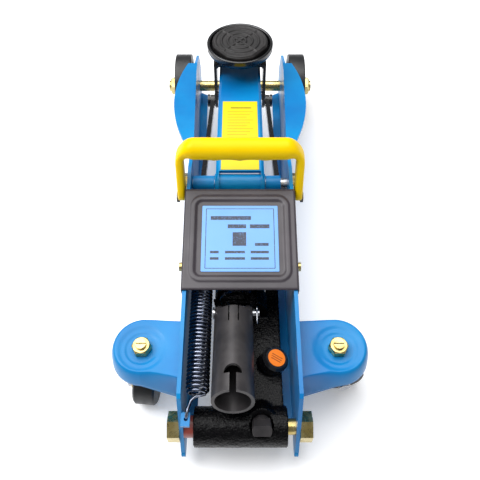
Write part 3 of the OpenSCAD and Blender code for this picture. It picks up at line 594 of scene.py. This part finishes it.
def build_cup():
    """The turned cup on its stem."""
    rim = high("saddle_cup").x / MM
    base = low("saddle_cup").z / MM
    stem_r = 6.9
    profile = [(0.01, base), (stem_r, base), (stem_r, base + 6.5), (19, base + 6.6), (rim - 5, base + 12),
               (rim, base + 17), (rim, base + 23), (rim - 1, base + 23.5), (rim - 3, base + 23.2),
               (rim - 3.4, base + 18), (0.01, base + 15)]
    cup = lathe("turned_cup", rounded(profile, 2.2), SADDLE_CENTRE, steps=128)
    stands_for(cup, "saddle", "black_paint", "saddle_cup")


def pad_edge(angle, pad_r):
    """How far the pad reaches in one direction: it is round, with a flat at each rear corner."""
    reach = pad_r - 2
    edge = pad_r
    for flat in (math.radians(-40), math.radians(-140)):
        facing = math.cos(angle - flat)
        if facing > 0.5:
            edge = min(edge, reach / facing)
    return edge


def pad_sink(x, y, radius, edge):
    """How far the pad's face lies below its top: rings and a cross stand up, the edge is rounded."""
    rings, rings_end, ring_half = (6, 12.5, 19), 21, 1.5
    cross_end, cross_half = 25, 1.3
    border_start, border_share = 23.5, 0.75
    groove, edge_drop = 1.15, 1.6
    root_two = 1.414
    ring = max(smooth_step((ring_half - abs(radius - r)) / 0.9) for r in rings) if radius < rings_end else 0
    off_diagonal = min(abs(x - y), abs(x + y)) / root_two
    cross = smooth_step((cross_half - off_diagonal) / 0.7) * smooth_step((cross_end - radius) / 1.5)
    border = border_share * smooth_step((radius - border_start) / 1.2)
    return groove * (1 - max(ring, cross, border)) + edge_drop * (1 - smooth_step((edge - radius) / 1.8))


def build_pad():
    """The rubber pad in the cup."""
    top = high("saddle_pad").z / MM
    pad_r = high("saddle_pad").x / MM
    rings, steps = 84, 224
    points = []
    for i in range(rings):
        for k in range(steps):
            angle = 2 * math.pi * k / steps
            edge = pad_edge(angle, pad_r)
            radius = edge * i / (rings - 1)
            x, y = radius * math.cos(angle), radius * math.sin(angle)
            height = top - pad_sink(x, y, radius, edge)
            points.append(Vector((x, y, height)) * MM + SADDLE_CENTRE)
    faces = strip_faces(rings + 1, steps, wrap=True)
    rim = points[-steps:]
    foot_z = low("saddle_pad").z
    foot = len(points)
    points += [Vector((p.x, p.y, foot_z)) for p in rim]
    faces.append(tuple(foot + k for k in range(steps)))
    pad = mesh_piece("ridged_pad", points, faces)
    stands_for(pad, "saddle", "black_rubber", "saddle_pad")


# ---- wheels, nuts and brackets -------------------------------------------------------------

def build_wheels():
    """The front wheels, each with a sunken web between its hub and its tyre."""
    for side in ("left", "right"):
        centre = middle(f"front_wheel_{side}")
        half = (high(f"front_wheel_{side}").x - low(f"front_wheel_{side}").x) / 2 / MM
        r = (high(f"front_wheel_{side}").z - centre.z) / MM
        bore, hub, tyre = 6.1, 11.5, r - 6.5
        web = half - 3.4
        profile = [(bore, -half), (hub, -half), (hub + 0.5, -web), (tyre - 1.5, -web), (tyre, -half),
                   (r, -half), (r, half), (tyre, half), (tyre - 1.5, web), (hub + 0.5, web), (hub, half),
                   (bore, half), (bore, -half)]
        wheel = lathe(f"rolled_wheel_{side}", rounded(profile, 1.3), centre, axis="X", steps=128)
        stands_for(wheel, f"{side}_front_wheel", "wheel_black", f"front_wheel_{side}")


def hexagon(name, centre, across_corners, height, axis, bore, turn=0.0):
    """A nut or bolt head with its corners turned down; height runs along the axis from centre."""
    flat = across_corners * math.cos(math.pi / 6)
    sign = 1 if height > 0 else -1

    def trim(angle, radius):
        if radius < flat * 0.9:
            return radius
        sector = (angle + turn) % (math.pi / 3) - math.pi / 6
        return min(radius, flat / math.cos(sector))

    deep = abs(height)
    chamfer = 1.5
    profile = [(bore, 0), (flat * 0.97, 0), (across_corners, chamfer * 0.5), (across_corners, deep - chamfer),
               (flat * 1.04, deep - chamfer * 0.55), (flat * 0.94, deep), (bore, deep), (bore, 0)]
    profile = [(r, sign * h) for r, h in profile]
    obj = lathe(name, profile, centre, axis=axis, steps=144, radius_at=trim)
    for polygon in obj.data.polygons:
        polygon.use_smooth = False
    return soften(obj, 0.25 * MM, segments=2, angle=20)


def build_nuts():
    """The nuts of the front axle and the arm's shaft, and those on the casters' king bolts."""
    shaft_nut_r, shaft_bore = 10.5, 6.05
    king_deep, king_bore = 7.0, 4.05
    for side, sign in (("left", -1), ("right", 1)):
        for node, deep in (("axle_nuts", 7.0), ("pivot_nuts", 6.9)):
            face_x = sign * (abs(low(node).x) - deep * MM)
            face = Vector((face_x, middle(node).y, middle(node).z))
            nut = hexagon(f"{node}_{side}", face, shaft_nut_r, sign * deep, "X", shaft_bore, math.pi / 6)
            stands_for(nut, "chassis", "yellow_zinc", node)
        king = pivot_of(f"caster_{side}_swivel")
        seat = Vector((king.x, king.y, low("caster_king_nuts").z))
        across = (high("caster_king_nuts").x - abs(king.x)) / MM
        nut = hexagon(f"king_nut_{side}", seat, across, king_deep, "Z", king_bore)
        stands_for(nut, "chassis", "yellow_zinc", "caster_king_nuts")


def unit(angle):
    """A plan direction of length one."""
    return Vector((math.cos(angle), math.sin(angle)))


def hull_outline(centre, radius, corners, steps):
    """Distance from centre to the edge of the shape round a circle and two corners, for each direction."""
    circle_steps, line_steps = 90, 240
    # lines seen nearly edge-on say nothing about the distance
    edge_on = 0.05
    circle = [centre + unit(2 * math.pi * i / circle_steps) * radius for i in range(circle_steps)]
    normals = [unit(2 * math.pi * i / line_steps) for i in range(line_steps)]
    supports = [max((p - centre).dot(normal) for p in circle + corners) for normal in normals]
    distances = []
    for k in range(steps):
        heading = unit(2 * math.pi * k / steps)
        # the hull's edge along a ray is the smallest of its support lines
        ahead = ((normal.dot(heading), support) for normal, support in zip(normals, supports))
        distances.append(min(support / facing for facing, support in ahead if facing >= edge_on))
    return distances


def skirt(centre, inner_x, edge, angle, top, tip_low, root_low):
    """How low the skirt hangs in one direction, and how far it slopes out on the way down."""
    lean = 0.36
    x = centre.x + edge * math.cos(angle)
    share = min(1.0, max(0.0, (centre.x - x) / (centre.x - inner_x)))
    low_z = tip_low + (root_low - tip_low) * share
    return low_z, lean * (top - low_z) * (1 - math.sin(angle)) / 2


def bracket_profile(edge, run, top, low_z):
    """One direction of a bracket as (radius, z): out over the dished top, round the bend and down."""
    hole, bend = 4.0, 2.0
    # the dish sinks in two steps, each (radius, width of the slope, depth)
    dish = ((11.5, 2.5, 0.7), (15.5, 4.5, 1.0))
    flat_steps, skirt_steps = 24, 12
    shoulder = edge - run
    profile = []
    for i in range(1, flat_steps + 1):
        radius = hole + (shoulder - bend - hole) * i / flat_steps
        sunk = sum(depth * (1 - smooth_step((radius - start) / slope)) for start, slope, depth in dish)
        profile.append((radius, top - sunk))
    for i in range(1, skirt_steps + 1):
        t = i / skirt_steps
        radius = (shoulder - bend) * (1 - t) ** 2 + (shoulder + bend) * 2 * t * (1 - t) + edge * t * t
        profile.append((radius, top * (1 - t * t) + low_z * t * t))
    return profile


def build_bracket(side, sign):
    """A pressed bracket: dished round the king bolt, rounded shoulder and a turned-down skirt."""
    node = f"caster_bracket_{side}"
    king = pivot_of(f"caster_{side}_swivel") / MM
    lo, hi = low(node) / MM, high(node) / MM
    inner_x = min(abs(lo.x), abs(hi.x))
    outer = max(abs(lo.x), abs(hi.x)) - abs(king.x)
    centre = Vector((abs(king.x), king.y))
    room = centre.x - inner_x - 0.02
    tip_height = 14
    # the outline runs on past the plate, so that the top stays flat right up to it
    past = 30.0
    widening = (king.y - outer - lo.y) * past / (abs(king.x) - inner_x)
    corners = [Vector((inner_x - past, lo.y - widening)), Vector((inner_x - past, hi.y))]
    steps = 180
    columns = []
    for k, edge in enumerate(hull_outline(centre, outer, corners, steps)):
        angle = 2 * math.pi * k / steps
        low_z, run = skirt(centre, inner_x, edge, angle, hi.z, hi.z - tip_height, lo.z)
        column = []
        for radius, z in bracket_profile(edge, run, hi.z, low_z):
            inwards = -radius * math.cos(angle)
            if inwards > room:
                radius *= room / inwards
            x = centre.x + radius * math.cos(angle)
            y = centre.y + radius * math.sin(angle)
            column.append(Vector((sign * x, y, z)) * MM)
        columns.append(column)
    rows = len(columns[0])
    placed = [columns[k][row] for row in range(rows) for k in range(steps)]
    bracket = mesh_piece(f"pressed_bracket_{side}", placed, strip_faces(rows, steps, wrap=True))
    sheet = bracket.modifiers.new("sheet", "SOLIDIFY")
    sheet.thickness = 2.4 * MM
    sheet.offset = -1
    stands_for(bracket, "chassis", "blue_paint", node)


# ---- return spring and clip ----------------------------------------------------------------

def build_spring():
    """The long coil, hooked into the tab on the left plate behind and into the ram's ear in front."""
    lo, hi = low("return_spring") / MM, high("return_spring") / MM
    wire_r = 1.2
    turns, per_turn = 30, 22
    rear_run, front_run = 18.0, 58.5
    mean = (hi.x - lo.x) / 2 - wire_r
    x0, z0 = (lo.x + hi.x) / 2, hi.z - mean - wire_r
    hook_y, hook_z = lo.y + wire_r, lo.z + 4
    start, end = hook_y + rear_run, hi.y - front_run
    ear_x = low("spring_ear").x / MM + 2.6
    # the rear hook, in steps from the hole in the tab: up through it, over and into the coil
    bend = ((1.5, 0, 0), (1.5, 0.2, 3), (1.9, 2, 6), (2.9, 7, 7), (4.3, 12, 6.5), (7.3, 15.5, 6))
    path = [Vector((lo.x + x, hook_y + y, hook_z + z)) for x, y, z in bend]
    count = turns * per_turn
    for i in range(count + 1):
        angle = 2 * math.pi * i / per_turn
        # the first and last turns close in a little
        radius = mean * (0.8 + 0.2 * smooth_step(min(i, count - i) / per_turn))
        y = start + (end - start) * i / count
        path.append(Vector((x0 + radius * math.cos(angle), y, z0 + radius * math.sin(angle))))
    path += [Vector((x0 + 4, end + 3, z0)), Vector((ear_x, end + 8, z0)), Vector((ear_x, hi.y - 0.2, z0))]
    spring = wire("coil_spring", path, wire_r)
    give(spring, "spring_steel")
    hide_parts("return_spring")
    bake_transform(spring)


def build_clip():
    """The wire clip through the end of the fulcrum pin: a ring with a straight leg and a wavy one."""
    x = middle("fulcrum_clip").x / MM
    hi = high("fulcrum_clip") / MM
    wire_r = 0.6
    ring_r = 2.2
    wave_steps, ring_steps = 14, 16
    top = hi.z - wire_r
    ring_y, ring_z = hi.y - 3, top - ring_r
    path = []
    for i in range(wave_steps + 1):
        t = i / wave_steps
        path.append(Vector((x, ring_y - 11 + 9 * t, top - 5 + 0.8 * math.sin(3 * math.pi * t))))
    for i in range(ring_steps + 1):
        angle = math.radians(-120 + 300 * i / ring_steps)
        path.append(Vector((x, ring_y + ring_r * math.cos(angle), ring_z + ring_r * math.sin(angle))))
    path += [Vector((x, ring_y - 3 - 4.5 * i, top - 2.4 - 0.4 * i)) for i in range(3)]
    clip = wire("wire_clip", path, wire_r)
    stands_for(clip, "chassis", "bright_steel", "fulcrum_clip")


# ---- pieces kept from the frame ------------------------------------------------------------

def build_cast_block():
    """The pump block again, with the soft edges and uneven skin of a casting."""
    source = nodes["pump_block"]
    block = source.copy()
    block.data = source.data.copy()
    block.name = "cast_pump_block"
    block.parent = None
    for key in list(block.keys()):
        del block[key]
    bpy.context.scene.collection.objects.link(block)
    grain_size, lump_size, lump_height = 0.8 * MM, 3.5 * MM, 0.5 * MM
    skin = block.modifiers.new("skin", "REMESH")
    skin.mode = "VOXEL"
    skin.voxel_size = grain_size
    skin.use_smooth_shade = True
    relax = block.modifiers.new("relax", "SMOOTH")
    relax.factor = 0.5
    relax.iterations = 4
    lumps = bpy.data.textures.new("lumps", "CLOUDS")
    lumps.noise_scale = lump_size
    uneven = block.modifiers.new("uneven", "DISPLACE")
    uneven.texture = lumps
    uneven.texture_coords = "LOCAL"
    uneven.strength = lump_height
    uneven.mid_level = 0.5
    stands_for(block, "chassis", "cast_black", "pump_block")


# how far the edges of a kept node are rounded, in mm; the others have the small rounding
ROUNDING = {
    "arm_channel": 1.2, "side_plate_left": 0.7, "side_plate_right": 0.7, "saddle_yoke": 0.9,
    "handle_socket": 0.5, "safety_valve_cap": 0.8, "gland_nut": 0.8, "oil_tank": 1.0,
    "tie_rod_left": 0.8, "tie_rod_right": 0.8, "release_valve": 0.6, "trunnion_bolts": 0.8,
}
SMALL_ROUNDING = 0.3


def dress_kept_nodes():
    """Finishes and soft edges for every CAD node that is still shown."""
    slots = {s["node"]: s["material_slot"] for s in frame["record"]["subparts"]}
    for name, obj in nodes.items():
        if obj.hide_render:
            continue
        if slots[name] in PAINT:
            give(obj, slots[name])
        soften(obj, ROUNDING.get(name, SMALL_ROUNDING) * MM)


build_cover()
build_cover_label()
build_arm_label()
build_safety_label()
build_handle()
build_cup()
build_pad()
build_wheels()
build_nuts()
build_bracket("left", -1)
build_bracket("right", 1)
build_spring()
build_clip()
build_cast_block()
dress_kept_nodes()


# ---- room, light and camera ----------------------------------------------------------------

def build_floor():
    """A pale floor just under the wheels, which glows a little so that it stays near white."""
    reach = 3.0
    gap = 0.3 * MM
    corners = [(-reach, -reach, 0), (reach, -reach, 0), (reach, reach, 0), (-reach, reach, 0)]
    floor = mesh_piece("floor", corners, [(0, 1, 2, 3)])
    floor.location.z = -gap
    pale = finish("pale_floor", (0.9, 0.9, 0.91, 1), (0.87, 0.87, 0.885, 1), rough=(0.35, 0.5), patch=2.0)
    surface = pale.node_tree.nodes["Principled BSDF"].inputs
    surface["Emission Color"].default_value = (1, 1, 1, 1)
    surface["Emission Strength"].default_value = 0.27
    floor.data.materials.append(pale)


def build_world():
    """A faint, slightly cool light from all sides."""
    world = bpy.data.worlds.new("studio")
    world.use_nodes = True
    background = world.node_tree.nodes["Background"].inputs
    background["Color"].default_value = (0.93, 0.96, 1.0, 1)
    background["Strength"].default_value = 0.28
    bpy.context.scene.world = world


def build_lamp(name, place, size, power):
    """A square lamp that faces the middle of the jack."""
    aim = Vector((0, 0, 0.05))
    light = bpy.data.lights.new(name, "AREA")
    light.energy = power
    light.size = size
    lamp = bpy.data.objects.new(name, light)
    lamp.location = place
    lamp.rotation_euler = (aim - Vector(place)).to_track_quat("-Z", "Y").to_euler()
    bpy.context.scene.collection.objects.link(lamp)


def build_camera():
    """The camera stands behind the jack, above it, and looks down on it."""
    behind, height = 0.3345, 0.4565
    look_down = 54.5
    camera = bpy.data.cameras.new("camera")
    camera.sensor_width = 36
    camera.lens = 40.95
    stand = bpy.data.objects.new("camera", camera)
    stand.location = (0, -behind, height)
    stand.rotation_euler = (math.radians(90 - look_down), 0, 0)
    bpy.context.scene.collection.objects.link(stand)
    bpy.context.scene.camera = stand


build_floor()
build_world()
build_lamp("softbox", place=(-0.3, 0.3, 1.6), size=1.9, power=43.0)
build_lamp("key", place=(-0.8, -0.1, 1.1), size=0.5, power=5.0)
build_camera()
bpy.context.scene.view_settings.view_transform = "Standard"
